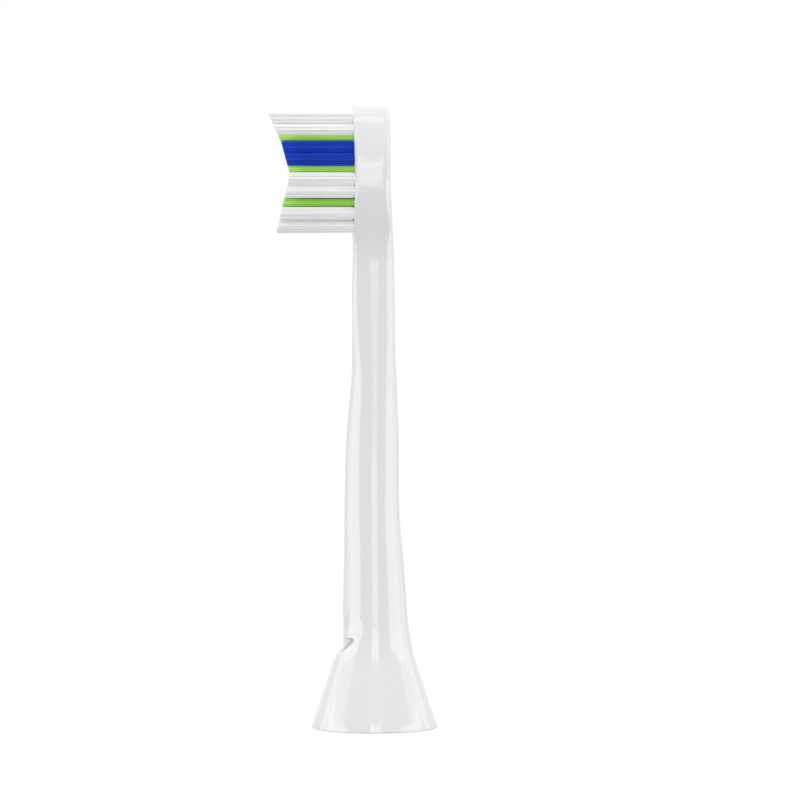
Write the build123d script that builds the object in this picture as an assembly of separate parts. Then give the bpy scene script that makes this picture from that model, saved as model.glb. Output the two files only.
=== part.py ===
from build123d import *
import math
import os

# Push-on head for an electric toothbrush: a moulded neck and skirt, stapled nylon tufts and a shaft spring.
# Millimetres. Z runs up the neck from the rim that the head stands on, and the origin is the rim's centre,
# on the axis of the drive shaft. The bristles point to -Y, which is called the front.

# Moulded body: heights along the neck
SKIRT_HEIGHT = 17.7  # flared skirt, from the rim to the root of the neck
NECK_LENGTH = 44.3  # from the root of the neck to the shoulder, where the brush plate starts to widen
SHOULDER_LENGTH = 15.0  # from the shoulder to the widest line of the brush plate
TIP_LENGTH = 10.0  # from the widest line to the tip

# Moulded body: sections
BASE_RADIUS = 8.84
CONE_HEIGHT = 9.3  # the straight part of the skirt
CONE_TOP_RADIUS = 5.75
NECK_ROOT_RADIUS = 4.44
SECTION_POINTS = 24

# Brush plate
SHOULDER_HALF_WIDTH = 2.6
PLATE_HALF_WIDTH = 5.3
PLATE_FRONT = 3.2  # middle of the bristle face, in front of the shaft axis
PLATE_CROWN = 0.5  # how far the bristle face falls back towards the edges
PLATE_BACK = 2.17
PLATE_BACK_ROUND = 1.2
TIP_RADIUS = 3.8  # of the tip, seen from the front

# Inside of the skirt and the drive socket
SKIRT_WALL = 1.3
NECK_WALL = 1.04  # wall of the neck round the top of the cavity, and of the latch tongue
CAVITY_HEIGHT = 16.9
HUB_WALL = 0.65
HUB_BOTTOM = 5.0
SOCKET_RADIUS = 2.05
SOCKET_LEAD_IN = 0.3
KEY_RADIUS = 1.85  # upper socket, for the stepped end of the shaft
KEY_FLAT = 1.45  # the flat that keys the shaft, in front of the axis
KEY_LENGTH = 10.6
RIB_COUNT = 4
RIB_THICKNESS = 0.8
RIB_BOTTOM = 5.6
RIB_TOP = 9.0

# Latch tongue and the slot round it, low on the front of the neck
TONGUE_RADIUS = 4.41  # straight front of the tongue, about the shaft axis
TONGUE_HALF_WIDTH = 2.75
TONGUE_BOTTOM = 11.0
SLOT_HALF_WIDTH = 4.45
SLOT_BOTTOM = 9.7
SLOT_LEG_TOP = 15.9
SLOT_DEPTH_STOP = 1.35  # the slot ends this far in front of the shaft axis
SLOT_HUB_GAP = 0.25

# Shaft spring, a bowed leaf behind the key flat
SPRING_WIDTH = 1.7
SPRING_THICKNESS = 0.25
SPRING_BITE = 0.15  # how far the bow stands proud of the key flat
SPRING_POCKET_DEPTH = 1.15  # pocket depth behind the key flat
SPRING_POCKET_LENGTH = 9.6
SPRING_CLEARANCE = 0.05

# Tufts
TUFT_DIAMETER = 1.4
FINE_TUFT_DIAMETER = 0.9  # green tufts along the edge
TUFT_HOLE_DEPTH = 3.0
TUFT_SIDES = 8  # a round hole and its bundle of filaments, drawn with flats
TUFT_CLEARANCE = 0.03
ANCHOR_MARGIN = 0.014  # between the ends of an anchor and the wall of its hole
ANCHOR_HEIGHT = 1.4
ANCHOR_THICKNESS = 0.3
ANCHOR_RISE = 0.5  # folded filaments left under the anchor
INNER_COLUMN = 1.15
OUTER_EDGE = 1.2  # from the plate's edge to the middle of an outer tuft
FIRST_TUFT_DROP = 2.35  # from the tip of the plate to the first tufts
FIELD_LENGTH = 14.75  # from the first tufts to the last

# Trim of the bristle ends: length above the bristle face at heights above and below the valley
VALLEY_LENGTH = 8.58
CROWN_RISE = 1.2
CROWN_REACH = 4.5
TIP_RISE = 2.94
TIP_REACH = 8.4
HEEL_RISE = 1.85
HEEL_REACH = 8.0
VALLEY_ABOVE_WIDEST = 0.1

# Places worked out from the sizes above
NECK_ROOT = SKIRT_HEIGHT
SHOULDER = NECK_ROOT + NECK_LENGTH
WIDEST = SHOULDER + SHOULDER_LENGTH
TIP = WIDEST + TIP_LENGTH
HUB_RADIUS = SOCKET_RADIUS + HUB_WALL
HOLE_FLOOR = -PLATE_FRONT + TUFT_HOLE_DEPTH
FAR = 4 * BASE_RADIUS  # comfortably outside the body


def section(height, half_width, front, back, front_power, back_power):
    """A smooth closed curve across the neck: round at power 2, and squarer in front or behind at a higher one."""
    middle = (back - front) / 2
    depth = (back + front) / 2
    points = []
    for step in range(SECTION_POINTS):
        angle = 2 * math.pi * step / SECTION_POINTS
        across, along = math.cos(angle), math.sin(angle)
        share = 2 / (back_power if along > 0 else front_power)
        x = half_width * math.copysign(abs(across) ** share, across)
        y = middle + depth * math.copysign(abs(along) ** share, along)
        points.append((x, y))
    return Plane.XY.offset(height) * make_face(Spline(*points, periodic=True))


def ring(height, radius):
    return section(height, radius, radius, radius, 2, 2)


def flare_radius(height):
    """Outer radius of the skirt's straight cone."""
    return BASE_RADIUS + (CONE_TOP_RADIUS - BASE_RADIUS) * height / CONE_HEIGHT


def skirt_sections():
    """The curve from the top of the skirt's cone to the root of the neck, which it meets upright."""
    sections = [Plane.XY.offset(CONE_HEIGHT) * Circle(CONE_TOP_RADIUS)]
    for share in (0.25, 0.5, 0.75, 1.0):
        height = CONE_HEIGHT + share * (SKIRT_HEIGHT - CONE_HEIGHT)
        radius = NECK_ROOT_RADIUS + (CONE_TOP_RADIUS - NECK_ROOT_RADIUS) * (1 - share) ** 2
        sections.append(ring(height, radius))
    return sections


def neck_sections():
    """Share of the neck's length, half width, front, back, front and back power. The last run into the plate."""
    stations = [
        (0.125, 4.15, 4.31, 4.12, 2.0, 2.0),
        (0.250, 3.80, 4.27, 3.60, 2.05, 2.05),
        (0.375, 3.60, 4.17, 3.45, 2.1, 2.1),
        (0.500, 3.40, 4.00, 3.44, 2.4, 2.4),
        (0.625, 3.20, 3.55, 3.25, 3.0, 3.0),
        (0.705, 3.12, 3.25, 3.11, 3.6, 3.3),
        (0.785, 3.05, 3.19, 2.98, 4.5, 3.6),
        (0.950, 2.98, 3.17, 2.80, 7.0, 4.2),
        (1.030, 3.00, 3.21, 2.72, 8.0, 4.2),
        (1.100, 3.00, 3.18, 2.62, 8.0, 4.2),
        (1.190, 2.95, 3.10, 2.42, 7.0, 4.2),
        (1.280, 2.80, 2.95, 2.20, 6.0, 4.2),
        (1.360, 2.60, 2.80, 2.05, 6.0, 4.2),
    ]
    return [section(NECK_ROOT + share * NECK_LENGTH, *sizes) for share, *sizes in stations]


def tip_join():
    """Where the plate's long side arc meets the arc of the tip, on one tangent. Also the side arc's radius."""
    width, length = PLATE_HALF_WIDTH, TIP_LENGTH - TIP_RADIUS
    side_radius = (length**2 + width**2 - TIP_RADIUS**2) / (2 * (width - TIP_RADIUS))
    reach = side_radius - TIP_RADIUS
    x = TIP_RADIUS * (side_radius - width) / reach
    return (x, TIP - TIP_RADIUS + TIP_RADIUS * length / reach), side_radius


def plate_half_width(height):
    """Outline of the brush plate seen from the front, along its two long side arcs."""
    if height >= WIDEST:
        radius = tip_join()[1]
    else:
        half_drop = (PLATE_HALF_WIDTH - SHOULDER_HALF_WIDTH) / 2
        radius = ((SHOULDER_LENGTH / 2) ** 2 + half_drop**2) / (2 * half_drop)
    return PLATE_HALF_WIDTH - radius + math.sqrt(radius**2 - (height - WIDEST) ** 2)


def plate():
    """The brush plate: one outline of tangent arcs, rounded behind, with a slightly crowned bristle face."""
    widest = (PLATE_HALF_WIDTH, WIDEST)
    shoulder = (SHOULDER_HALF_WIDTH, SHOULDER)
    halfway = ((PLATE_HALF_WIDTH + SHOULDER_HALF_WIDTH) / 2, (WIDEST + SHOULDER) / 2)
    join = tip_join()[0]
    side = [
        TangentArc(widest, join, tangent=(0, 1)),
        TangentArc(widest, halfway, tangent=(0, -1)),
        TangentArc(shoulder, halfway, tangent=(0, 1)),
    ]
    tip = ThreePointArc(join, (0, TIP), (-join[0], join[1]))
    end = Line((-SHOULDER_HALF_WIDTH, SHOULDER), shoulder)
    outline = make_face(side + [mirror(arc, Plane.YZ) for arc in side] + [tip, end])
    blank = extrude(front_plane(0, PLATE_BACK, 0) * outline, PLATE_BACK + PLATE_FRONT)
    back_edges = blank.faces().sort_by(Axis.Y)[-1].edges().filter_by(GeomType.CIRCLE)
    crown_radius = (PLATE_HALF_WIDTH**2 + PLATE_CROWN**2) / (2 * PLATE_CROWN)
    crown = Pos(0, crown_radius - PLATE_FRONT, WIDEST) * Cylinder(crown_radius, 2 * FAR)
    return fillet(back_edges, PLATE_BACK_ROUND) & crown


def moulding():
    """The whole outside of the body."""
    cone = Cone(BASE_RADIUS, CONE_TOP_RADIUS, CONE_HEIGHT, align=(Align.CENTER, Align.CENTER, Align.MIN))
    return cone + loft(skirt_sections() + neck_sections(), ruled=True) + plate()


def cavity():
    """Hollow of the skirt and the ring of space behind the latch tongue, round the hub."""
    inner_top = TONGUE_RADIUS - NECK_WALL
    waist = CONE_HEIGHT
    profile = Polyline(
        (0, 0),
        (BASE_RADIUS - SKIRT_WALL, 0),
        (flare_radius(waist) - SKIRT_WALL, waist),
        (inner_top, 0.76 * CAVITY_HEIGHT),
        (inner_top, CAVITY_HEIGHT),
        (0, CAVITY_HEIGHT),
        close=True,
    )
    hollow = revolve(Plane.XZ * make_face(profile), Axis.Z)
    hub = Pos(0, 0, HUB_BOTTOM) * Cylinder(HUB_RADIUS, CAVITY_HEIGHT, align=(Align.CENTER, Align.CENTER, Align.MIN))
    return hollow - hub - ribs()


def ribs():
    """Radial webs that tie the hub to the skirt, on the diagonals."""
    web = Pos(0, 0, RIB_BOTTOM) * Box(
        BASE_RADIUS, RIB_THICKNESS, RIB_TOP - RIB_BOTTOM, align=(Align.MIN, Align.CENTER, Align.MIN)
    )
    turn = 360 / RIB_COUNT
    return [Rot(0, 0, turn * (index + 0.5)) * web for index in range(RIB_COUNT)]


def socket():
    """Round guide bore, the keyed bore above it and the pocket for the shaft spring."""
    up = (Align.CENTER, Align.CENTER, Align.MIN)
    guide = Pos(0, 0, HUB_BOTTOM) * Cylinder(SOCKET_RADIUS, CAVITY_HEIGHT - HUB_BOTTOM, align=up)
    lead_in = Pos(0, 0, HUB_BOTTOM) * Cone(
        SOCKET_RADIUS + SOCKET_LEAD_IN, SOCKET_RADIUS, SOCKET_LEAD_IN, align=up
    )
    keyed = Pos(0, 0, CAVITY_HEIGHT) * Cylinder(KEY_RADIUS, KEY_LENGTH, align=up)
    keyed -= Pos(0, -KEY_FLAT, CAVITY_HEIGHT) * Box(
        2 * FAR, FAR, KEY_LENGTH, align=(Align.CENTER, Align.MAX, Align.MIN)
    )
    pocket = Pos(0, 0, spring_middle()) * Box(
        SPRING_WIDTH + 2 * SPRING_CLEARANCE,
        KEY_FLAT + SPRING_POCKET_DEPTH,
        SPRING_POCKET_LENGTH,
        align=(Align.CENTER, Align.MAX, Align.CENTER),
    )
    return [guide, lead_in, keyed, pocket]


def spring_middle():
    return CAVITY_HEIGHT + KEY_LENGTH / 2


def tongue_slot():
    """U-shaped slot that frees the latch tongue, cut from the front and kept clear of the hub."""
    leg_width = SLOT_HALF_WIDTH - TONGUE_HALF_WIDTH
    leg_middle = (SLOT_HALF_WIDTH + TONGUE_HALF_WIDTH) / 2
    leg_top = SLOT_LEG_TOP - leg_width / 2
    outer_middle = SLOT_BOTTOM + SLOT_HALF_WIDTH
    inner_middle = TONGUE_BOTTOM + TONGUE_HALF_WIDTH
    up = (Align.CENTER, Align.MIN)
    outer = Pos(0, outer_middle) * Circle(SLOT_HALF_WIDTH)
    outer += Pos(0, outer_middle) * Rectangle(2 * SLOT_HALF_WIDTH, leg_top - outer_middle, align=up)
    outer -= Pos(0, leg_top) * Rectangle(FAR, FAR, align=up)
    inner = Pos(0, inner_middle) * Circle(TONGUE_HALF_WIDTH)
    inner += Pos(0, inner_middle) * Rectangle(2 * TONGUE_HALF_WIDTH, FAR, align=up)
    outline = outer - inner
    for side in (-1, 1):
        outline += Pos(side * leg_middle, leg_top) * Circle(leg_width / 2)
    slot = extrude(front_plane(0, -SLOT_DEPTH_STOP, 0) * outline, FAR)
    return slot - Cylinder(HUB_RADIUS + SLOT_HUB_GAP, 2 * FAR)


def tongue_relief():
    """Takes the flare off the front of the tongue, so that it runs straight down behind the skirt's lip."""
    middle = (TONGUE_BOTTOM + SLOT_BOTTOM) / 2
    reach = SKIRT_HEIGHT - SLOT_HUB_GAP - middle
    relief = Pos(0, 0, middle) * Box(
        2 * TONGUE_HALF_WIDTH + SLOT_HUB_GAP, FAR, reach, align=(Align.CENTER, Align.MAX, Align.MIN)
    )
    return relief - Cylinder(TONGUE_RADIUS, 2 * FAR)


def tuft_layout():
    """Every tuft as colour, place, x, height and diameter. Heights are shares of the bristle field's length."""
    edge = (
        ("white", 0.0),
        ("white", 0.1),
        ("green", 0.181),
        ("blue", 0.265),
        ("blue", 0.376),
        ("green", 0.468),
        ("white", 0.56),
        ("white", 0.675),
        ("green", 0.78),
        ("white", 0.88),
        ("white", 1.0),
    )
    inner = (("green", 0.16), ("blue", 0.315), ("green", 0.47), ("white", 0.625), ("green", 0.78), ("white", 1.0))
    middle = (("white", 0.0), ("white", 0.885))
    tufts = []
    for row, (colour, share) in enumerate(edge):
        height = field_height(share)
        diameter = FINE_TUFT_DIAMETER if colour == "green" else TUFT_DIAMETER
        tufts += pair(colour, f"edge_{row + 1}", plate_half_width(height) - OUTER_EDGE, height, diameter)
    for row, (colour, share) in enumerate(inner):
        tufts += pair(colour, f"inner_{row + 1}", INNER_COLUMN, field_height(share), TUFT_DIAMETER)
    for row, (colour, share) in enumerate(middle):
        tufts.append((colour, f"middle_{row + 1}", 0.0, field_height(share), TUFT_DIAMETER))
    return tufts


def field_height(share):
    return TIP - FIRST_TUFT_DROP - share * FIELD_LENGTH


def pair(colour, place, x, height, diameter):
    return [
        (colour, f"{place}_left", -x, height, diameter),
        (colour, f"{place}_right", x, height, diameter),
    ]


def front_plane(x, depth, height):
    """A plane that looks to the front from a point."""
    return Plane((x, depth, height), x_dir=(1, 0, 0), z_dir=(0, -1, 0))


def tuft_bar(x, height, radius, length):
    """A many-sided bar from the floor of a tuft hole to the front."""
    outline = RegularPolygon(radius, TUFT_SIDES, rotation=180 / TUFT_SIDES)
    return extrude(front_plane(x, HOLE_FLOOR, height) * outline, length)


def tuft_hole(x, height, diameter):
    return tuft_bar(x, height, diameter / 2, 2 * TUFT_HOLE_DEPTH)


def anchor(x, height, diameter):
    """The flat wire staple that a tuft is folded over, as wide as its hole."""
    middle = HOLE_FLOOR - ANCHOR_RISE - ANCHOR_HEIGHT / 2
    width = diameter * math.cos(math.pi / TUFT_SIDES) - 2 * ANCHOR_MARGIN
    return Pos(x, middle, height) * Box(width, ANCHOR_HEIGHT, ANCHOR_THICKNESS)


def trim():
    """Everything that the bristle trimmer leaves: a valley between a long tip and a shorter heel."""
    valley = WIDEST + VALLEY_ABOVE_WIDEST
    ends = [
        (-HEEL_REACH, HEEL_RISE),
        (0, 0),
        (CROWN_REACH, CROWN_RISE),
        (TIP_REACH, TIP_RISE),
    ]
    outline = [(-PLATE_FRONT - VALLEY_LENGTH - rise, valley + reach) for reach, rise in ends]
    low = (0, valley - HEEL_REACH)
    high = (0, valley + TIP_REACH)
    side = make_face(Polyline(low, *outline, high, close=True))
    return extrude(Plane.YZ * side, PLATE_HALF_WIDTH, both=True)


def head_body():
    body = moulding()
    body -= cavity()
    body -= socket()
    body -= tongue_relief()
    body -= tongue_slot()
    body -= [tuft_hole(*place) for _, _, *place in tuft_layout()]
    return body


def tuft(x, height, diameter, trimmed):
    """A many-sided bundle from the floor of its hole to its trimmed end, folded round its anchor."""
    bundle = tuft_bar(x, height, diameter / 2 - TUFT_CLEARANCE, FAR) & trimmed
    return bundle - anchor(x, height, diameter)


def shaft_spring():
    """A bowed leaf: its ends seat on the floor of the pocket and its middle presses on the shaft."""
    seat = -KEY_FLAT - SPRING_POCKET_DEPTH + SPRING_CLEARANCE
    crest = -KEY_FLAT + SPRING_BITE
    half = SPRING_POCKET_LENGTH / 2 - SPRING_CLEARANCE
    middle = spring_middle()
    low, high = middle - half, middle + half
    edges = [
        ThreePointArc((seat, low), (crest - SPRING_THICKNESS, middle), (seat, high)),
        Line((seat, high), (seat + SPRING_THICKNESS, high)),
        ThreePointArc((seat + SPRING_THICKNESS, high), (crest, middle), (seat + SPRING_THICKNESS, low)),
        Line((seat + SPRING_THICKNESS, low), (seat, low)),
    ]
    return extrude(Plane.YZ * make_face(edges), SPRING_WIDTH / 2, both=True)


def main():
    os.makedirs("parts", exist_ok=True)
    layout = tuft_layout()
    pieces = {"head_body": head_body(), "shaft_spring": shaft_spring()}
    pieces["tuft_anchors"] = Compound([anchor(*place).solid() for _, _, *place in layout])
    trimmed = trim()
    for colour, name, *place in layout:
        pieces[f"{colour}_tuft_{name}"] = tuft(*place, trimmed)
    for name, piece in pieces.items():
        export_step(piece, f"parts/{name}.step")
    print(len(pieces), "pieces")


main()
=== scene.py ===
# %% [markdown]
# # Push-on head for an electric toothbrush
# The real object is one slim white moulding that carries 36 tufts of nylon bristles.
# The CAD frame already has every piece at its true size and place, in metres, with Z up the neck.
# This lesson dresses that frame: a smooth glossy moulding, and tufts made of single filaments.

# %% Load the frame
import math
import random

import bmesh
import bpy
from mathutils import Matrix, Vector


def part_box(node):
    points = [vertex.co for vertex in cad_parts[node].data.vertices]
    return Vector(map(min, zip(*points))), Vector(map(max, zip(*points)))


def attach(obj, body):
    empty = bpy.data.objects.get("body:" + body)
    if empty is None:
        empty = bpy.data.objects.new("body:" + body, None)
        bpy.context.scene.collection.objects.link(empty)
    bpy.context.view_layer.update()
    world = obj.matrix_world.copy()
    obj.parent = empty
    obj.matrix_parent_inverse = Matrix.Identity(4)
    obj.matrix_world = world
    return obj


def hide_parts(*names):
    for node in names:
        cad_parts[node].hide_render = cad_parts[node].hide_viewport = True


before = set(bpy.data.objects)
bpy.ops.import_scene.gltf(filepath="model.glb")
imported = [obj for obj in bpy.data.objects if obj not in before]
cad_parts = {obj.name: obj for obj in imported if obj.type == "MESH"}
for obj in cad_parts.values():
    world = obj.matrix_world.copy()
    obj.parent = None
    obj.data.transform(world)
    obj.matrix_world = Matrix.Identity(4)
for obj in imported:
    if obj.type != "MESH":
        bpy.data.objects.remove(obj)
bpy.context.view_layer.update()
MM = 0.001
print("CAD nodes:", len(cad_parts))

# %% [markdown]
# ## The camera
# The photograph looks straight at the right side of the brush, so the bristles point to the left.
# A long lens far away keeps the slim neck straight, and the camera stands level with the brush plate.
# So the plate is seen straight on, and the rim from a little above.

# %% Camera
PHOTO_AZIMUTH = math.radians(88.5)  # 0 faces the bristles, 90 faces the right side
CAMERA_DISTANCE = 685 * MM
CAMERA_HEIGHT = 76 * MM
FRAME_WIDTH = 111.4 * MM  # what the square picture takes in at the neck
AIM_RIGHT = 3.55 * MM  # the neck stands a little left of the middle of the picture
AIM_HEIGHT = 45.65 * MM
SENSOR_WIDTH = 36.0

towards_camera = Vector((math.sin(PHOTO_AZIMUTH), -math.cos(PHOTO_AZIMUTH), 0))
across_view = Vector((math.cos(PHOTO_AZIMUTH), math.sin(PHOTO_AZIMUTH), 0))
aim = across_view * AIM_RIGHT + Vector((0, 0, AIM_HEIGHT))
place = across_view * AIM_RIGHT + towards_camera * CAMERA_DISTANCE + Vector((0, 0, CAMERA_HEIGHT))
bpy.ops.object.camera_add(location=place, rotation=(aim - place).to_track_quat("-Z", "Y").to_euler())
camera = bpy.context.object
camera.name = "photo_camera"
camera.data.sensor_width = SENSOR_WIDTH
camera.data.lens = SENSOR_WIDTH * (aim - place).length / FRAME_WIDTH
camera.data.clip_start = 10 * MM
bpy.context.scene.camera = camera
bpy.context.scene.view_settings.view_transform = "Standard"
print("lens", round(camera.data.lens), "mm")

# %% [markdown]
# ## Node and colour helpers
# Every finish below is built from shader nodes, so one small function adds a node, sets it and links it.
# Colours are written as sRGB hex values, the way a paint program shows them.
# Cycles works in linear light, so one function converts them.


# %% Helpers for materials
def linear(hex_colour):
    """An sRGB hex colour as linear red, green, blue and alpha."""
    channels = [int(hex_colour[start : start + 2], 16) / 255 for start in (0, 2, 4)]
    return [c / 12.92 if c <= 0.04045 else ((c + 0.055) / 1.055) ** 2.4 for c in channels] + [1.0]


def add_node(tree, kind, settings=None, **inputs):
    """Adds a shader node. An input is a value for that socket, or another node's output to link to it."""
    node = tree.nodes.new(kind)
    for name, value in (settings or {}).items():
        setattr(node, name, value)
    for name, value in inputs.items():
        key = int(name[1:]) if name[1:].isdigit() else name.replace("_", " ")
        if isinstance(value, bpy.types.NodeSocket):
            tree.links.new(value, node.inputs[key])
        else:
            node.inputs[key].default_value = value
    return node


def new_material(name):
    """An empty node material with its output, ready for a shader."""
    material = bpy.data.materials.new(name)
    material.use_nodes = True
    material.node_tree.nodes.clear()
    return material, material.node_tree


def finish_material(tree, shader):
    """Adds the output and links a shader to it."""
    output = add_node(tree, "ShaderNodeOutputMaterial")
    tree.links.new(shader, output.inputs["Surface"])


print("white in linear light:", linear("ffffff")[0])

# %% [markdown]
# ## Light and floor
# White gloss plastic shows its form only by what it reflects, so the lamps are the drawing here.
# Soft boxes at both sides give the long bright strips near the edges of the neck and the skirt.
# They are dimmer towards the back, because gloss mirrors more at a flat angle and would burn the strips out.
# Two narrow boxes by the camera give the thin line down the middle. A gap in their height lets it fade
# below the plate.
# The last three light the flat of the plate, the bright bow under the tip and the back of the head.
# These boxes only show in the gloss. The even light comes from the world, brighter above than below,
# so the under sides turn grey.
# The floor and the world look plain white to the camera, and the floor keeps a little of the shadow.

# %% World
FILL_ABOVE = 1.24
FILL_BELOW = 0.84

world = bpy.data.worlds.new("studio_fill")
bpy.context.scene.world = world
world.use_nodes = True
world_tree = world.node_tree
world_tree.nodes.clear()
direction = add_node(world_tree, "ShaderNodeTexCoord")
height = add_node(world_tree, "ShaderNodeSeparateXYZ", Vector=direction.outputs["Generated"])
fill = add_node(
    world_tree,
    "ShaderNodeMapRange",
    Value=height.outputs["Z"],
    From_Min=-1.0,
    From_Max=1.0,
    To_Min=FILL_BELOW,
    To_Max=FILL_ABOVE,
)


def seen_directly(tree):
    """1 for camera, glossy and transmission rays, 0 for the light that falls on other things."""
    rays = add_node(tree, "ShaderNodeLightPath")
    two = add_node(
        tree,
        "ShaderNodeMath",
        {"operation": "MAXIMUM"},
        _0=rays.outputs["Is Camera Ray"],
        _1=rays.outputs["Is Glossy Ray"],
    )
    three = add_node(
        tree,
        "ShaderNodeMath",
        {"operation": "MAXIMUM"},
        _0=two.outputs[0],
        _1=rays.outputs["Is Transmission Ray"],
    )
    return three.outputs[0]


lighting = add_node(world_tree, "ShaderNodeBackground", Color=linear("ffffff"), Strength=fill.outputs[0])
backdrop = add_node(world_tree, "ShaderNodeBackground", Color=linear("ffffff"), Strength=1.0)
shown = add_node(
    world_tree,
    "ShaderNodeMixShader",
    _0=seen_directly(world_tree),
    _1=lighting.outputs[0],
    _2=backdrop.outputs[0],
)
add_node(world_tree, "ShaderNodeOutputWorld", Surface=shown.outputs[0])
print("world fill", FILL_BELOW, "to", FILL_ABOVE)


# %% Lamps
NEAR = 200  # the lamps' distances from the shaft axis, in millimetres
FAR = 350


def soft_box(name, right, wide, low, high, distance, radiance):
    """An upright lamp: right and wide in degrees from the camera, low and high in millimetres."""
    turn = PHOTO_AZIMUTH + math.radians(right)
    outwards = Vector((math.sin(turn), -math.cos(turn), 0))
    spot = (outwards * distance + Vector((0, 0, (low + high) / 2))) * MM
    facing = outwards.to_track_quat("Z", "Y").to_euler()
    bpy.ops.object.light_add(type="AREA", location=spot, rotation=facing)
    lamp = bpy.context.object
    lamp.name = name
    lamp.data.shape = "RECTANGLE"
    lamp.data.size = 2 * distance * math.tan(math.radians(wide / 2)) * MM
    lamp.data.size_y = (high - low) * MM
    lamp.data.energy = math.pi * lamp.data.size * lamp.data.size_y * radiance
    lamp.visible_camera = False
    lamp.visible_diffuse = False
    print(name, round(lamp.data.energy, 2), "W")


soft_box("left_low_box", right=-75, wide=48, low=1, high=75, distance=NEAR, radiance=3.1)
soft_box("left_rear_box", right=-109, wide=20, low=1, high=75, distance=NEAR, radiance=1.4)
soft_box("left_high_box", right=-91, wide=54, low=75, high=260, distance=NEAR, radiance=1.2)
soft_box("right_low_box", right=74, wide=48, low=1, high=75, distance=NEAR, radiance=2.8)
soft_box("right_rear_box", right=111, wide=26, low=1, high=75, distance=NEAR, radiance=1.2)
soft_box("right_high_box", right=100, wide=46, low=75, high=260, distance=NEAR, radiance=1.15)
for low, high in ((5, 48), (57, 190)):
    soft_box("line_left_box", right=-3.15, wide=8.7, low=low, high=high, distance=FAR, radiance=3.2)
    soft_box("line_right_box", right=8.4, wide=7.2, low=low, high=high, distance=FAR, radiance=3.2)
soft_box("plate_box", right=3, wide=2, low=22, high=151, distance=FAR, radiance=3.4)
soft_box("bow_box", right=0, wide=60, low=500, high=640, distance=FAR, radiance=1.9)
soft_box("back_box", right=180, wide=60, low=90, high=1100, distance=FAR, radiance=0.5)

# %% Floor
FLOOR_SIZE = 6.0
FLOOR_GLOW = 0.64
FLOOR_SHADE = 0.35  # how much of the shadow the camera sees
FLOOR_BOUNCE = 0.5  # how much light the floor sends back to the object
FLOOR_DROP = 0.02 * MM  # keeps the floor off the face of the rim

bpy.ops.mesh.primitive_plane_add(size=FLOOR_SIZE, location=(0, 0, -FLOOR_DROP))
floor = bpy.context.object
floor.name = "studio_floor"
floor_paint, floor_tree = new_material("matt_white_paper")
glow = add_node(floor_tree, "ShaderNodeEmission", Color=linear("ffffff"), Strength=FLOOR_GLOW)
paper = add_node(floor_tree, "ShaderNodeBsdfDiffuse", Color=[FLOOR_SHADE] * 3 + [1.0])
lit_paper = add_node(floor_tree, "ShaderNodeAddShader", _0=glow.outputs[0], _1=paper.outputs[0])
bounce = add_node(floor_tree, "ShaderNodeBsdfDiffuse", Color=[FLOOR_BOUNCE] * 3 + [1.0])
floor_mix = add_node(
    floor_tree,
    "ShaderNodeMixShader",
    _0=seen_directly(floor_tree),
    _1=bounce.outputs[0],
    _2=lit_paper.outputs[0],
)
finish_material(floor_tree, floor_mix.outputs[0])
floor.data.materials.append(floor_paint)
print("floor", FLOOR_SIZE, "m")

# %% [markdown]
# ## The moulding, ring by ring
# The body is one injection moulding: a round skirt, a nearly round neck and a flat brush plate.
# It could be a few primitives joined with booleans, but then the shoulder would show a crease.
# Here one ring of points is extruded up the neck, and each new ring gets its own outline.
# An outline is half a turn from the front to the back, then mirrored.
# It has a rounded front edge and a rounder back edge. The side between them is flat on the plate
# and bulges on the upper neck, and further down the whole outline is eased to an ellipse.

# %% Sizes of the moulding, in millimetres
SKIRT_HEIGHT = 17.7
CONE_HEIGHT = 9.3
BASE_RADIUS = 8.84
CONE_TOP_RADIUS = 5.75
NECK_ROOT_RADIUS = 4.53
NECK_ROOT_SLOPE = 0.06
CONE_TOP_SLOPE = 0.30
RIM_ROUND = 0.15
SHOULDER = 63.5
WIDEST = 77.0
TIP = 87.0
SHOULDER_HALF_WIDTH = 2.95
PLATE_HALF_WIDTH = 5.3
PLATE_FRONT = 3.2
PLATE_CROWN = 0.5
TIP_RADIUS = 3.8

# Height, half width, front, back, front edge radius, back edge radius, share of an ellipse,
# crown of the face, bulge of the sides
NECK_TABLE = (
    (17.7, 4.50, 4.44, 4.53, 2.20, 2.20, 1.00, 0.0, 0.00),
    (23.2, 4.15, 4.31, 4.12, 2.00, 2.00, 1.00, 0.0, 0.00),
    (28.8, 3.80, 4.27, 3.60, 1.80, 1.80, 1.00, 0.0, 0.00),
    (34.3, 3.60, 4.17, 3.45, 1.70, 1.70, 0.98, 0.0, 0.00),
    (39.9, 3.40, 4.00, 3.44, 1.55, 1.60, 0.96, 0.0, 0.00),
    (45.4, 3.20, 3.55, 3.25, 1.40, 1.50, 0.92, 0.0, 0.10),
    (48.9, 3.12, 3.25, 3.11, 1.25, 1.45, 0.80, 0.0, 0.20),
    (52.5, 3.05, 3.19, 2.98, 1.00, 1.40, 0.55, 0.0, 0.40),
    (56.0, 3.00, 3.18, 2.89, 0.85, 1.35, 0.20, 0.0, 0.70),
    (60.0, 2.97, 3.17, 2.80, 0.75, 1.30, 0.00, 0.1, 0.80),
    (63.5, 2.95, 3.11, 2.72, 0.60, 1.30, 0.00, 0.3, 0.70),
    (66.4, 2.95, 3.03, 2.62, 0.50, 1.20, 0.00, 0.5, 0.45),
    (70.4, 2.95, 3.14, 2.44, 0.45, 1.20, 0.00, 0.5, 0.12),
    (74.4, 2.95, 3.20, 2.22, 0.45, 1.20, 0.00, 0.5, 0.00),
    (77.0, 2.95, 3.20, 2.17, 0.45, 1.20, 0.00, 0.5, 0.00),
    (87.0, 2.95, 3.20, 2.17, 0.45, 1.20, 0.00, 0.5, 0.00),
)

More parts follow.
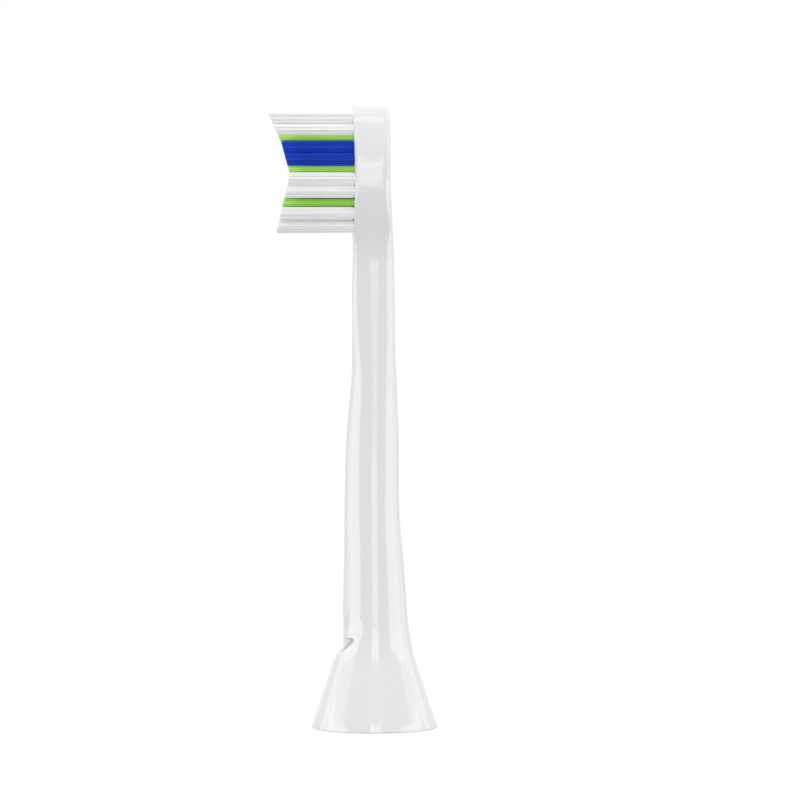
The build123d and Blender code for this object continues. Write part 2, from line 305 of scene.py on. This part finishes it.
tip_centre = TIP - TIP_RADIUS
rise = tip_centre - WIDEST
side_radius = (rise**2 + PLATE_HALF_WIDTH**2 - TIP_RADIUS**2) / (2 * (PLATE_HALF_WIDTH - TIP_RADIUS))
join_angle = math.asin(rise / (side_radius - TIP_RADIUS))
half_step = (PLATE_HALF_WIDTH - SHOULDER_HALF_WIDTH) / 2
half_rise = (WIDEST - SHOULDER) / 2
shoulder_radius = (half_rise**2 + half_step**2) / (2 * half_step)
print("plate side radius", round(side_radius, 2), "shoulder radius", round(shoulder_radius, 2))


# %% Outline of one ring
FACE_STEPS = 6
CORNER_STEPS = 12
SIDE_STEPS = 10


def table_row(level):
    """The table's values at a height, on a smooth curve through its rows."""
    last = len(NECK_TABLE) - 2
    index = next((i for i in range(last) if level < NECK_TABLE[i + 1][0]), last)
    low, high = NECK_TABLE[index], NECK_TABLE[index + 1]
    before = NECK_TABLE[max(index - 1, 0)]
    after = NECK_TABLE[min(index + 2, last + 1)]
    span = high[0] - low[0]
    t = (level - low[0]) / span
    values = []
    for column in range(1, len(low)):
        start, end = low[column], high[column]
        slope_in = span * (end - before[column]) / (high[0] - before[0])
        slope_out = span * (after[column] - start) / (after[0] - low[0])
        cubic = 2 * start - 2 * end + slope_in + slope_out
        square = 3 * end - 3 * start - 2 * slope_in - slope_out
        values.append(((cubic * t + square) * t + slope_in) * t + start)
    return values


def plate_half_width(level, inset, neck_half_width):
    """Half the width at a height, for the outline moved in by an inset."""
    if level > WIDEST:
        if level > tip_centre + (TIP_RADIUS - inset) * math.sin(join_angle):
            return math.sqrt(max((TIP_RADIUS - inset) ** 2 - (level - tip_centre) ** 2, 0.0))
        reach = math.sqrt((side_radius - inset) ** 2 - (level - WIDEST) ** 2)
        return PLATE_HALF_WIDTH - side_radius + reach
    if level > SHOULDER + half_rise:
        reach = math.sqrt((shoulder_radius - inset) ** 2 - (level - WIDEST) ** 2)
        return PLATE_HALF_WIDTH - shoulder_radius + reach
    if level > SHOULDER:
        reach = math.sqrt((shoulder_radius + inset) ** 2 - (level - SHOULDER) ** 2)
        return SHOULDER_HALF_WIDTH + shoulder_radius - reach
    return neck_half_width - inset


def corner(level, radius, neck_half_width):
    """Width and depth along a rounded edge, from the flat side round to the face."""
    deepest = min(radius, max(TIP - level, 0.0))
    turn = math.acos(1 - deepest / radius)
    points = []
    for step in range(CORNER_STEPS + 1):
        angle = turn * step / CORNER_STEPS
        inset = radius * (1 - math.cos(angle))
        points.append((plate_half_width(level, inset, neck_half_width), radius * (1 - math.sin(angle))))
    return points


def straight(start, end, steps):
    """Points from start towards end, without the end."""
    return [
        (start[0] + (end[0] - start[0]) * step / steps, start[1] + (end[1] - start[1]) * step / steps)
        for step in range(steps)
    ]


def mirrored(half, level):
    """The half turn and its mirror image as one closed ring, in metres."""
    points = half + [(-x, y) for x, y in reversed(half[1:-1])]
    return [Vector((x, y, level)) * MM for x, y in points]


def neck_ring(level):
    """One closed turn round the neck or the plate."""
    half_width, front, back, front_edge, back_edge, roundness, crown, bulge = table_row(level)
    roundness = min(max(roundness, 0.0), 1.0)
    front_corner = [(x, -front + y) for x, y in reversed(corner(level, front_edge, half_width))]
    back_corner = [(x, back - y) for x, y in corner(level, back_edge, half_width)]
    front_middle = (0, front_corner[0][1])
    back_middle = (0, back_corner[-1][1])
    half = straight(front_middle, front_corner[0], FACE_STEPS) + front_corner
    half += straight(front_corner[-1], back_corner[0], SIDE_STEPS)[1:] + back_corner
    half += straight(back_corner[-1], back_middle, FACE_STEPS)[1:] + [back_middle]
    eased = []
    for x, y in half:
        reach = back if y > 0 else front
        angle = math.atan2(y / reach, x / half_width)
        round_x, round_y = half_width * math.cos(angle), reach * math.sin(angle)
        sag = crown * (x / PLATE_HALF_WIDTH) ** 2 * max(-y / front, 0.0)
        x -= bulge * (y / reach) ** 2 * x / half_width
        eased.append((x + (round_x - x) * roundness, y + (round_y - y) * roundness + sag))
    return mirrored(eased, level)


def round_ring(level, radius):
    """A ring of the skirt: a circle on the cone, which eases to the outline of the neck's root above it."""
    root = neck_ring(SKIRT_HEIGHT)
    share = max((level - CONE_HEIGHT) / (SKIRT_HEIGHT - CONE_HEIGHT), 0.0)
    ring = []
    for point in root:
        outwards = Vector((point.x, point.y, 0))
        reach = radius * MM + (outwards.length - NECK_ROOT_RADIUS * MM) * share
        ring.append(outwards.normalized() * reach + Vector((0, 0, level * MM)))
    return ring


def skirt_radius(level):
    """The straight cone, then a curve that runs on into the neck."""
    if level < CONE_HEIGHT:
        return BASE_RADIUS + (CONE_TOP_RADIUS - BASE_RADIUS) * level / CONE_HEIGHT
    span = SKIRT_HEIGHT - CONE_HEIGHT
    share = (SKIRT_HEIGHT - level) / span
    start_slope, end_slope = NECK_ROOT_SLOPE * span, CONE_TOP_SLOPE * span
    step = CONE_TOP_RADIUS - NECK_ROOT_RADIUS
    cubic = start_slope + end_slope - 2 * step
    square = 3 * step - 2 * start_slope - end_slope
    return NECK_ROOT_RADIUS + ((cubic * share + square) * share + start_slope) * share


print("points in a ring:", len(neck_ring(40)))


# %% Extrude the rings
MERGE_DISTANCE = 0.0005 * MM
CONE_STEPS = 8
FLARE_STEPS = 12
NECK_STEPS = 36
SHOULDER_STEPS = 24
PLATE_STEPS = 12
TIP_STEPS = 18


def place_ring(piece, ring):
    """Moves the selected ring of vertices to the points of a ring, in order."""
    edit = bmesh.from_edit_mesh(piece.data)
    chosen = [vertex for vertex in edit.verts if vertex.select]
    for vertex, point in zip(chosen, ring):
        vertex.co = point
    bmesh.update_edit_mesh(piece.data)


def ring_solid(name, rings):
    """Starts from a circle, extrudes it from ring to ring in edit mode and closes both ends."""
    bpy.ops.object.select_all(action="DESELECT")
    bpy.ops.mesh.primitive_circle_add(vertices=len(rings[0]), radius=MM)
    piece = bpy.context.object
    piece.name = name
    bpy.ops.object.mode_set(mode="EDIT")
    bpy.ops.mesh.select_all(action="SELECT")
    place_ring(piece, rings[0])
    for ring in rings[1:]:
        bpy.ops.mesh.extrude_region_move()
        place_ring(piece, ring)
    bpy.ops.mesh.select_all(action="SELECT")
    bpy.ops.mesh.remove_doubles(threshold=MERGE_DISTANCE)
    bpy.ops.mesh.select_all(action="DESELECT")
    bpy.ops.mesh.select_non_manifold()
    bpy.ops.mesh.fill_holes(sides=0)
    bpy.ops.mesh.select_all(action="SELECT")
    bpy.ops.mesh.normals_make_consistent(inside=False)
    bpy.ops.object.mode_set(mode="OBJECT")
    return piece


def levels(start, end, steps):
    """Evenly spaced heights above start, up to the end."""
    return [start + (end - start) * (step + 1) / steps for step in range(steps)]


rings = []
for degrees in (0, 30, 60, 90):
    lift = RIM_ROUND * (1 - math.cos(math.radians(degrees)))
    tuck = RIM_ROUND * (1 - math.sin(math.radians(degrees)))
    rings.append(round_ring(lift, skirt_radius(lift) - tuck))
skirt_levels = levels(RIM_ROUND, CONE_HEIGHT, CONE_STEPS)
skirt_levels += levels(CONE_HEIGHT, SKIRT_HEIGHT, FLARE_STEPS)[:-1]
rings += [round_ring(level, skirt_radius(level)) for level in skirt_levels]
side_top = tip_centre + TIP_RADIUS * math.sin(join_angle)
neck_levels = [SKIRT_HEIGHT] + levels(SKIRT_HEIGHT, SHOULDER, NECK_STEPS)
neck_levels += levels(SHOULDER, WIDEST, SHOULDER_STEPS)
neck_levels += levels(WIDEST, side_top, PLATE_STEPS)
for angle in levels(join_angle, math.pi / 2, TIP_STEPS):
    neck_levels.append(tip_centre + TIP_RADIUS * math.sin(angle))
rings += [neck_ring(level) for level in neck_levels]
body = ring_solid("head_moulding", rings)
print("rings", len(rings), "faces", len(body.data.polygons))

# %% [markdown]
# ## Hollow, hub and socket
# The skirt is hollow, so that it fits over the top of the handle, and a hub in it takes the drive shaft.
# In the mould these are cores, so here they are cutters: each one is modelled like the body and cut away.
# The hub and its four ribs are then joined back in.


# %% Booleans
def combine(piece, tool, operation):
    """Applies one boolean with a tool, and removes the tool."""
    bpy.ops.object.select_all(action="DESELECT")
    bpy.context.view_layer.objects.active = piece
    change = piece.modifiers.new("shape", "BOOLEAN")
    change.operation = operation
    change.solver = "EXACT"
    change.object = tool
    bpy.ops.object.modifier_apply(modifier=change.name)
    bpy.data.objects.remove(tool)


def turned(name, profile, count=96):
    """A solid turned on the shaft axis, from pairs of height and radius."""
    rings = []
    for level, radius in profile:
        ring = []
        for step in range(count):
            angle = 2 * math.pi * step / count
            ring.append(Vector((radius * math.cos(angle), radius * math.sin(angle), level)) * MM)
        rings.append(ring)
    return ring_solid(name, rings)


def block(name, low, high):
    """A plain box between two corners in millimetres."""
    bottom = [(low[0], low[1]), (high[0], low[1]), (high[0], high[1]), (low[0], high[1])]
    return ring_solid(name, [[Vector((x, y, z)) * MM for x, y in bottom] for z in (low[2], high[2])])


SKIRT_WALL = 1.3
INNER_TOP_RADIUS = 3.37
CAVITY_HEIGHT = 16.9
HUB_RADIUS = 2.7
HUB_BOTTOM = 5.0
SOCKET_RADIUS = 2.05
SOCKET_LEAD_IN = 0.3
BELOW_RIM = -1.0  # where the hollow's cutter starts
BELOW_RIM_FLARE = 0.33  # how much wider the cone is there than at the rim
STRAIGHT_FROM = 0.76 * CAVITY_HEIGHT  # from here up the hollow is a straight bore

hollow = turned(
    "hollow",
    (
        (BELOW_RIM, BASE_RADIUS - SKIRT_WALL + BELOW_RIM_FLARE),
        (CONE_HEIGHT, CONE_TOP_RADIUS - SKIRT_WALL),
        (STRAIGHT_FROM, INNER_TOP_RADIUS),
        (CAVITY_HEIGHT, INNER_TOP_RADIUS),
    ),
)
combine(body, hollow, "DIFFERENCE")
print("hollow cut:", len(body.data.polygons), "faces")

# %% [markdown]
# ## Latch tongue
# Low on the front a curved slot frees the end of a tongue, which springs when the head is pushed on.
# The tongue's front is straight, so the flare of the skirt is first taken off it.
# Beside it two flanks are scooped out of the flare, and they face the front corners.
# The slot is a groove, which opens into the hollow only at its lowest part.
# Each cut comes in from the front along an outline and leaves a core standing,
# so its cutter is the outline minus the core.

# %% Tongue, flanks and slot
CORE_TOP = 30.0
CORE_SIDES = 90  # a count that puts no corner of a core on a corner of the body
TONGUE_PROFILE = ((0.0, 4.43), (15.0, 4.43), (17.7, 4.47), (CORE_TOP, 4.65))  # height, radius
TONGUE_HALF_WIDTH = 3.05
RELIEF_BOTTOM = 10.3  # inside the slot
FLANK_TURN = math.radians(35)
FLANK_ASIDE = 3.7
FLANK_HEIGHT = 14.1
FLANK_RADIUS = 1.8
FLANK_PROFILE = ((12.3, 5.0), (13.2, 4.79), (14.2, 4.62), (15.0, 4.60), (15.9, 4.65), (20.0, 5.1))
SLOT_CENTRE = 14.35
SLOT_OUTER = 4.65
SLOT_INNER = 3.45
SLOT_END = 32  # degrees below level, on both sides
SLOT_FLOOR = 4.15
CUT_END = -0.8  # no cut goes deeper than this, just in front of the shaft axis
WELL_IN_FRONT = -14.0


def arc(x, z, radius, start, turn, steps):
    """Points along part of a circle, angles in degrees."""
    angles = [math.radians(start + turn * step / steps) for step in range(steps + 1)]
    return [(x + radius * math.cos(a), z + radius * math.sin(a)) for a in angles]


def cut_from_front(name, outline, core):
    """Cuts the body in front of the shaft axis along an outline, down to a core."""
    ends = (CUT_END, WELL_IN_FRONT)
    cutter = ring_solid(name, [[Vector((x, y, z)) * MM for x, z in outline] for y in ends])
    combine(cutter, core, "DIFFERENCE")
    combine(body, cutter, "DIFFERENCE")


relief_middle = RELIEF_BOTTOM + TONGUE_HALF_WIDTH
tongue_outline = arc(0, relief_middle, TONGUE_HALF_WIDTH, 180, 180, 32)
tongue_outline += [(TONGUE_HALF_WIDTH, SKIRT_HEIGHT), (-TONGUE_HALF_WIDTH, SKIRT_HEIGHT)]
cut_from_front("relief", tongue_outline, turned("tongue_core", TONGUE_PROFILE, CORE_SIDES))

for side in (1, -1):
    flank_rings = []
    for level, reach in FLANK_PROFILE:
        ahead = reach / math.sin(FLANK_TURN)
        aside = reach / math.cos(FLANK_TURN)
        corners = ((0, -ahead), (aside, 0), (0, ahead), (-aside, 0))
        flank_rings.append([Vector((x, y, level)) * MM for x, y in corners])
    flank_outline = arc(side * FLANK_ASIDE, FLANK_HEIGHT, FLANK_RADIUS, 0, 360, 48)[:-1]
    cut_from_front("flank", flank_outline, ring_solid("flank_core", flank_rings))

slot_width = SLOT_OUTER - SLOT_INNER
slot_middle = SLOT_INNER + slot_width / 2
slot_turn = 180 - 2 * SLOT_END
left_end = arc(0, SLOT_CENTRE, slot_middle, 180 + SLOT_END, 0, 1)[0]
right_end = arc(0, SLOT_CENTRE, slot_middle, -SLOT_END, 0, 1)[0]
slot_outline = arc(0, SLOT_CENTRE, SLOT_OUTER, -SLOT_END, -slot_turn, 48)
slot_outline += arc(*left_end, slot_width / 2, 180 + SLOT_END, -180, 16)[1:]
slot_outline += arc(0, SLOT_CENTRE, SLOT_INNER, 180 + SLOT_END, slot_turn, 48)[1:]
slot_outline += arc(*right_end, slot_width / 2, 180 - SLOT_END, -180, 16)[1:-1]
slot_core = turned("slot_core", ((0.0, SLOT_FLOOR), (CORE_TOP, SLOT_FLOOR)), CORE_SIDES)
cut_from_front("slot", slot_outline, slot_core)
print("tongue freed:", len(body.data.polygons), "faces")

# %% Hub, ribs and socket
HUB_CHAMFER = 0.1
HUB_OVERLAP = 0.4  # how far the hub runs on into the neck
SOCKET_SIDES = 48
CUTTER_OVERLAP = 0.5  # how far the socket's cutter stands out of the hub
KEY_OVERLAP = 0.3  # how far the key's cutter runs back into the socket
KEY_RADIUS = 1.85
KEY_FLAT = 1.45
KEY_LENGTH = 10.6
RIB_COUNT = 4
RIB_THICKNESS = 0.8
RIB_INNER = SOCKET_RADIUS + 0.3  # inside the wall of the hub
RIB_OUTER = 5.4  # reaches the wall of the skirt
RIB_BOTTOM = 5.6
RIB_TOP = 9.0
POCKET_WIDTH = 1.8
POCKET_DEPTH = 1.15
POCKET_LENGTH = 9.6

hub = turned(
    "hub",
    (
        (HUB_BOTTOM, HUB_RADIUS - HUB_CHAMFER),
        (HUB_BOTTOM + HUB_CHAMFER, HUB_RADIUS),
        (CAVITY_HEIGHT + HUB_OVERLAP, HUB_RADIUS),
    ),
)
combine(body, hub, "UNION")
for index in range(RIB_COUNT):
    angle = math.radians(360 * (index + 0.5) / RIB_COUNT)
    along = Vector((math.cos(angle), math.sin(angle), 0))
    aside = Vector((-math.sin(angle), math.cos(angle), 0)) * RIB_THICKNESS / 2
    foot = [along * RIB_INNER - aside, along * RIB_OUTER - aside]
    foot += [along * RIB_OUTER + aside, along * RIB_INNER + aside]
    rib_ends = (RIB_BOTTOM, RIB_TOP)
    rib = ring_solid("rib", [[(point + Vector((0, 0, z))) * MM for point in foot] for z in rib_ends])
    combine(body, rib, "UNION")
socket = turned(
    "socket",
    (
        (HUB_BOTTOM - CUTTER_OVERLAP, SOCKET_RADIUS + SOCKET_LEAD_IN),
        (HUB_BOTTOM, SOCKET_RADIUS + SOCKET_LEAD_IN),
        (HUB_BOTTOM + SOCKET_LEAD_IN, SOCKET_RADIUS),
        (CAVITY_HEIGHT, SOCKET_RADIUS),
    ),
    SOCKET_SIDES,
)
combine(body, socket, "DIFFERENCE")
key_half_angle = math.degrees(math.acos(KEY_FLAT / KEY_RADIUS))
key_outline = arc(0, 0, KEY_RADIUS, 270 + key_half_angle, 360 - 2 * key_half_angle, 40)
key_ends = (CAVITY_HEIGHT - KEY_OVERLAP, CAVITY_HEIGHT + KEY_LENGTH)
key = ring_solid("key", [[Vector((x, y, z)) * MM for x, y in key_outline] for z in key_ends])
combine(body, key, "DIFFERENCE")
pocket_middle = CAVITY_HEIGHT + KEY_LENGTH / 2
pocket = block(
    "pocket",
    (-POCKET_WIDTH / 2, -KEY_FLAT - POCKET_DEPTH, pocket_middle - POCKET_LENGTH / 2),
    (POCKET_WIDTH / 2, 0, pocket_middle + POCKET_LENGTH / 2),
)
combine(body, pocket, "DIFFERENCE")
print("socket cut:", len(body.data.polygons), "faces")

# %% [markdown]
# ## Tuft holes
# Each tuft stands in a round moulded hole. The CAD node of every tuft gives the place of its hole,
# so the places are read from the nodes and not written down again.

# %% Holes in the brush plate
HOLE_DEPTH = 3.0
HOLE_SIDES = 28
CLEAR_OF_PLATE = 1.0  # how far a hole's cutter stands out of the plate
SMOOTH_ANGLE = math.radians(32)
BUNDLE_FLATS = 8  # the CAD bundles have eight flats and a little clearance in their holes
BUNDLE_CLEARANCE = 0.03

tuft_nodes = sorted(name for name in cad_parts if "_tuft_" in name)
tuft_places = {}
for name in tuft_nodes:
    low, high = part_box(name)
    radius = (high.x - low.x) / 2 / math.cos(math.pi / BUNDLE_FLATS) / MM + BUNDLE_CLEARANCE
    tuft_places[name] = ((low.x + high.x) / 2 / MM, (low.z + high.z) / 2 / MM, radius)
hole_ends = (HOLE_DEPTH - PLATE_FRONT, -PLATE_FRONT - CLEAR_OF_PLATE)
for hole_x, hole_z, radius in tuft_places.values():
    outline = arc(hole_x, hole_z, radius, 0, 360, HOLE_SIDES)[:-1]
    hole = ring_solid("hole", [[Vector((x, y, z)) * MM for x, z in outline] for y in hole_ends])
    combine(body, hole, "DIFFERENCE")
bpy.ops.object.select_all(action="DESELECT")
body.select_set(True)
bpy.context.view_layer.objects.active = body
bpy.ops.object.shade_smooth_by_angle(angle=SMOOTH_ANGLE)
print("holes", len(tuft_places), "faces", len(body.data.polygons))

# %% [markdown]
# ## Gloss white polypropylene
# The moulding is white polypropylene from a polished mould: a clean gloss with hardly any texture.
# Flow in the mould leaves a very slight waviness, a few millimetres long, and handling dulls it in places.
# To the eye this gives sharp, quiet reflections that break up only a little along the neck.
# Its gloss comes from a typical plastic IOR, so no reflection is painted.

# %% Body material
WAVE_LENGTH = 3.0 * MM
WAVE_HEIGHT = 0.02 * MM
POLISHED = 0.07  # roughness
HANDLED = 0.12

plastic, tree = new_material("gloss_white_polypropylene")
coordinates = add_node(tree, "ShaderNodeTexCoord")
waviness = add_node(
    tree, "ShaderNodeTexNoise", Vector=coordinates.outputs["Object"], Scale=1 / WAVE_LENGTH, Detail=2.0
)
gloss = add_node(
    tree, "ShaderNodeMapRange", Value=waviness.outputs["Fac"], To_Min=POLISHED, To_Max=HANDLED
)
ripple = add_node(
    tree,
    "ShaderNodeBump",
    Strength=0.05,
    Distance=WAVE_HEIGHT,
    Height=waviness.outputs["Fac"],
)
shader = add_node(
    tree,
    "ShaderNodeBsdfPrincipled",
    Base_Color=linear("ececed"),
    Roughness=gloss.outputs[0],
    IOR=1.49,
    Normal=ripple.outputs[0],
)
finish_material(tree, shader.outputs[0])
body.data.materials.clear()
body.data.materials.append(plastic)
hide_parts("head_body")
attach(body, "root")
print("body dressed with", plastic.name)

# %% [markdown]
# ## One nylon filament
# A tuft is a bundle of nylon filaments, each under a fifth of a millimetre thick, with a ground end.
# Here they are drawn coarser, about a quarter of a millimetre thick, so that fewer of them close a bundle.
# One filament is modelled from a six-sided bar: three lengths, so that it can open out, and a rounded end.
# Its points are then copied for each place in the bundle, which keeps the count of faces low.

# %% Filament
FILAMENT_RADIUS = 0.12
FILAMENT_SIDES = 6
END_ROUND = 0.06
END_WIDTH = 0.5  # share of the thickness that is left at the very end

bpy.ops.object.select_all(action="DESELECT")
bpy.ops.mesh.primitive_circle_add(vertices=FILAMENT_SIDES, radius=FILAMENT_RADIUS)
filament = bpy.context.object
bpy.ops.object.mode_set(mode="EDIT")
bpy.ops.mesh.select_all(action="SELECT")
for length in range(4):
    bpy.ops.mesh.extrude_region_move(TRANSFORM_OT_translate={"value": (0, 0, 1)})
bpy.ops.transform.resize(value=(END_WIDTH, END_WIDTH, 1))
bpy.ops.mesh.edge_face_add()
bpy.ops.mesh.select_all(action="SELECT")
bpy.ops.mesh.normals_make_consistent(inside=False)
bpy.ops.object.mode_set(mode="OBJECT")
filament_points = [vertex.co.copy() for vertex in filament.data.vertices]
filament_faces = [tuple(face.vertices) for face in filament.data.polygons]
bpy.data.objects.remove(filament)
print("filament faces:", len(filament_faces))

# %% [markdown]
# ## Tufts
# The trimmer cuts the bristle field to a valley: long at the tip, shorter in the middle
# and longer again at the heel.
# Filaments pack like pencils in a cup, so their roots sit on a honeycomb grid inside the hole.
# Just above the plate a bundle opens out until it presses against the next one in its column
# and their outer filaments mingle, so the colours stand in closed bands.
# Each filament leans a hair's breadth and ends a hair's breadth off the trim, from a fixed random seed.

# %% Trim and packing
VALLEY = 77.1
VALLEY_LENGTH = 8.58
TRIM = ((-8.5, 1.97), (0.0, 0.0), (4.5, 1.2), (9.0, 3.21))  # height from the valley, extra length
COLOUR_LINES = (82.33, 81.66, 78.23, 77.26, 73.75, 72.5)  # heights where two colours meet
PITCH = 0.15
GRID_REACH = 6  # rows and columns on each side of the middle one
OPENING = 1.25  # most that a bundle opens, times the radius of its hole
OPENING_HEIGHT = 0.25  # above the plate
MINGLING = 1.2  # how far a bundle presses into its neighbours, times its reach
ROOT_GAP = 0.4  # between the roots and the floor of the hole
STRAIGHT_DEPTH = 0.4  # filaments are straight up to this far below the face of the plate
LEAN = 0.02
UNEVEN = 0.015


def trimmed_length(level):
    """Length of a bristle above the middle of the plate at a height."""
    offset = min(max(level - VALLEY, TRIM[0][0]), TRIM[-1][0])
    for (low, low_rise), (high, high_rise) in zip(TRIM, TRIM[1:]):
        if offset <= high:
            return VALLEY_LENGTH + low_rise + (high_rise - low_rise) * (offset - low) / (high - low)
    return VALLEY_LENGTH + TRIM[-1][1]


def opening(name, way):
    """How far a bundle opens up or down its column: to the flat where it meets its neighbour."""
    x, z, radius = tuft_places[name]
    reach = OPENING * radius
    for other, (other_x, other_z, other_radius) in tuft_places.items():
        ahead = (other_z - z) * way
        if abs(other_x - x) < radius and 0 < ahead < 2 * reach:
            meeting = ahead * radius / (radius + other_radius)
            if other.split("_")[0] != name.split("_")[0]:
                lines = [(line - z) * way for line in COLOUR_LINES]
                meeting = min(lines, key=lambda line: abs(line - meeting))
            reach = min(reach, meeting)
    return reach


def honeycomb(radius):
    """Places of the filaments in a hole, as shares of the hole's radius."""
    places = []
    for row in range(-GRID_REACH, GRID_REACH + 1):
        for column in range(-GRID_REACH, GRID_REACH + 1):
            x = (column + (row % 2) / 2) * PITCH
            z = row * PITCH * math.sqrt(3) / 2
            if math.hypot(x, z) < radius - FILAMENT_RADIUS / 2:
                places.append((x / radius, z / radius))
    return places


def pressed(x, z):
    """Moves a place in a round bundle to where it lies when the bundle is pressed square."""
    size = (x**4 + z**4) ** 0.25
    stretch = math.hypot(x, z) / size if size else 1.0
    return x * stretch, z * stretch


print("filaments in a hole:", len(honeycomb(0.7)), "and", len(honeycomb(0.45)))

# %% Bundle the tufts
SEED = 7
FILAMENT_SMOOTH_ANGLE = math.radians(65)  # smooth round a filament, sharp at its end

chance = random.Random(SEED)
tufts = {}
for name in tuft_nodes:
    middle_x, middle_z, radius = tuft_places[name]
    up, down = opening(name, 1), opening(name, -1)
    plate = -PLATE_FRONT + PLATE_CROWN * (middle_x / PLATE_HALF_WIDTH) ** 2
    points, faces, tint, along = [], [], [], []
    for root_x, root_z in honeycomb(radius):
        open_x, open_z = pressed(root_x, root_z)
        open_x = open_x * radius * OPENING + chance.gauss(0, LEAN / 2)
        reach = (up if open_z > 0 else down) - FILAMENT_RADIUS / 2
        open_z = open_z * MINGLING * reach + chance.gauss(0, LEAN / 2)
        end_x = open_x + chance.gauss(0, LEAN)
        end_z = open_z + chance.gauss(0, LEAN)
        end = -PLATE_FRONT - trimmed_length(middle_z + end_z) + abs(chance.gauss(0, UNEVEN))
        stops = (
            (root_x * radius, HOLE_DEPTH - ROOT_GAP - PLATE_FRONT, root_z * radius),
            (root_x * radius, plate + STRAIGHT_DEPTH, root_z * radius),
            (open_x, plate - OPENING_HEIGHT, open_z),
            (end_x, end + END_ROUND, end_z),
            (end_x, end, end_z),
        )
        shade = chance.random()
        first = len(points)
        for point in filament_points:
            x, y, z = stops[round(point.z)]
            points.append(Vector((middle_x + x + point.x, y, middle_z + z + point.y)) * MM)
            tint.append(shade)
            along.append((plate - y) / (plate - end))
        faces += [tuple(first + index for index in face) for face in filament_faces]
    mesh = bpy.data.meshes.new(name + "_filaments")
    mesh.from_pydata(points, [], faces)
    mesh.attributes.new("tint", "FLOAT", "POINT").data.foreach_set("value", tint)
    mesh.attributes.new("along", "FLOAT", "POINT").data.foreach_set("value", along)
    tuft = bpy.data.objects.new(name + "_filaments", mesh)
    bpy.context.collection.objects.link(tuft)
    bpy.ops.object.select_all(action="DESELECT")
    tuft.select_set(True)
    bpy.context.view_layer.objects.active = tuft
    bpy.ops.object.shade_smooth_by_angle(angle=FILAMENT_SMOOTH_ANGLE)
    tufts[name] = tuft
print("tufts", len(tufts), "faces", sum(len(tuft.data.polygons) for tuft in tufts.values()))

# %% [markdown]
# ## Dyed nylon
# Nylon filament is drawn from a die, so it is smooth and a little see-through.
# From filament to filament the dye varies slightly, which draws the fine lines along a tuft.
# Filaments that lie side by side mirror each other more than the room, so little gloss is left.
# Light leaves through the cut ends, so the last millimetres are painted brighter: a painted glow in the
# colour.


# %% Bristle materials
# Painted glow: from this share of the length on, the colour is painted brighter towards the cut end.
PAINTED_GLOW_FROM = 0.7  # share of the length where the bright end begins
DYE_VARIATION = 0.03


def nylon(name, colour, painted_glow_colour):
    """Nylon of one dye, with a painted glow at the cut end, and slightly different from filament to
    filament.
    """
    material, tree = new_material(name)
    along = add_node(tree, "ShaderNodeAttribute", {"attribute_name": "along"})
    tint = add_node(tree, "ShaderNodeAttribute", {"attribute_name": "tint"})
    # Painted glow: the dye colour is mixed towards a brighter colour over the last share of the length.
    end = add_node(
        tree,
        "ShaderNodeMapRange",
        {"interpolation_type": "SMOOTHSTEP"},
        Value=along.outputs["Fac"],
        From_Min=PAINTED_GLOW_FROM,
    )
    dye_and_painted_glow = add_node(
        tree,
        "ShaderNodeMix",
        {"data_type": "RGBA"},
        _0=end.outputs[0],
        _6=linear(colour),
        _7=linear(painted_glow_colour),
    )
    depth = add_node(
        tree,
        "ShaderNodeMapRange",
        Value=tint.outputs["Fac"],
        To_Min=1 - DYE_VARIATION,
        To_Max=1 + DYE_VARIATION,
    )
    varied = add_node(tree, "ShaderNodeHueSaturation", Color=dye_and_painted_glow.outputs[2], Value=depth.outputs[0])
    shader = add_node(
        tree,
        "ShaderNodeBsdfPrincipled",
        Base_Color=varied.outputs[0],
        Roughness=0.38,
        IOR=1.53,
        Specular_IOR_Level=0.15,
    )
    finish_material(tree, shader.outputs[0])
    return material


# The second colour of each nylon is its painted glow at the cut end.
bristles = {
    "white": nylon("white_nylon_filament", "fbfbfb", "fefefe"),
    "green": nylon("green_nylon_filament", "a0de5c", "b6f472"),
    "blue": nylon("blue_nylon_filament", "103cba", "1a46d0"),
}
for name, tuft in tufts.items():
    colour = name.split("_")[0]
    tuft.data.materials.append(bristles[colour])
    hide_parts(name)
    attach(tuft, "root")
print("bristle colours:", ", ".join(bristles))

# %% [markdown]
# ## Metal inside
# Two metal parts sit inside the moulding, and their CAD shapes are already right,
# so they only get a finish.
# The shaft spring is rolled stainless strip, with fine lines along its length.
# The anchors are drawn brass wire, cut into small staples.
# The lines make the reflection streaky across the metal and clean along it.


# %% Metals
def drawn_metal(name, colour, roughness, line_width, stretch):
    """Metal with fine drawing lines: noise that is stretched along one direction changes its roughness."""
    material, tree = new_material(name)
    coordinates = add_node(tree, "ShaderNodeTexCoord")
    turned_lines = add_node(
        tree, "ShaderNodeMapping", Vector=coordinates.outputs["Object"], Scale=stretch
    )
    lines = add_node(
        tree, "ShaderNodeTexNoise", Vector=turned_lines.outputs[0], Scale=1 / line_width, Detail=3.0
    )
    dull = add_node(
        tree,
        "ShaderNodeMapRange",
        Value=lines.outputs["Fac"],
        To_Min=roughness - 0.08,
        To_Max=roughness + 0.12,
    )
    shader = add_node(
        tree, "ShaderNodeBsdfPrincipled", Base_Color=linear(colour), Metallic=1.0, Roughness=dull.outputs[0]
    )
    finish_material(tree, shader.outputs[0])
    return material


metals = {
    "shaft_spring": drawn_metal("rolled_stainless_strip", "c9cacb", 0.28, 0.08 * MM, (1, 1, 0.05)),
    "tuft_anchors": drawn_metal("drawn_brass_wire", "d8b56a", 0.32, 0.06 * MM, (0.05, 1, 1)),
}
for name, metal in metals.items():
    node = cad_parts[name]
    node.data.materials.clear()
    node.data.materials.append(metal)
print("metal pieces:", ", ".join(metals))
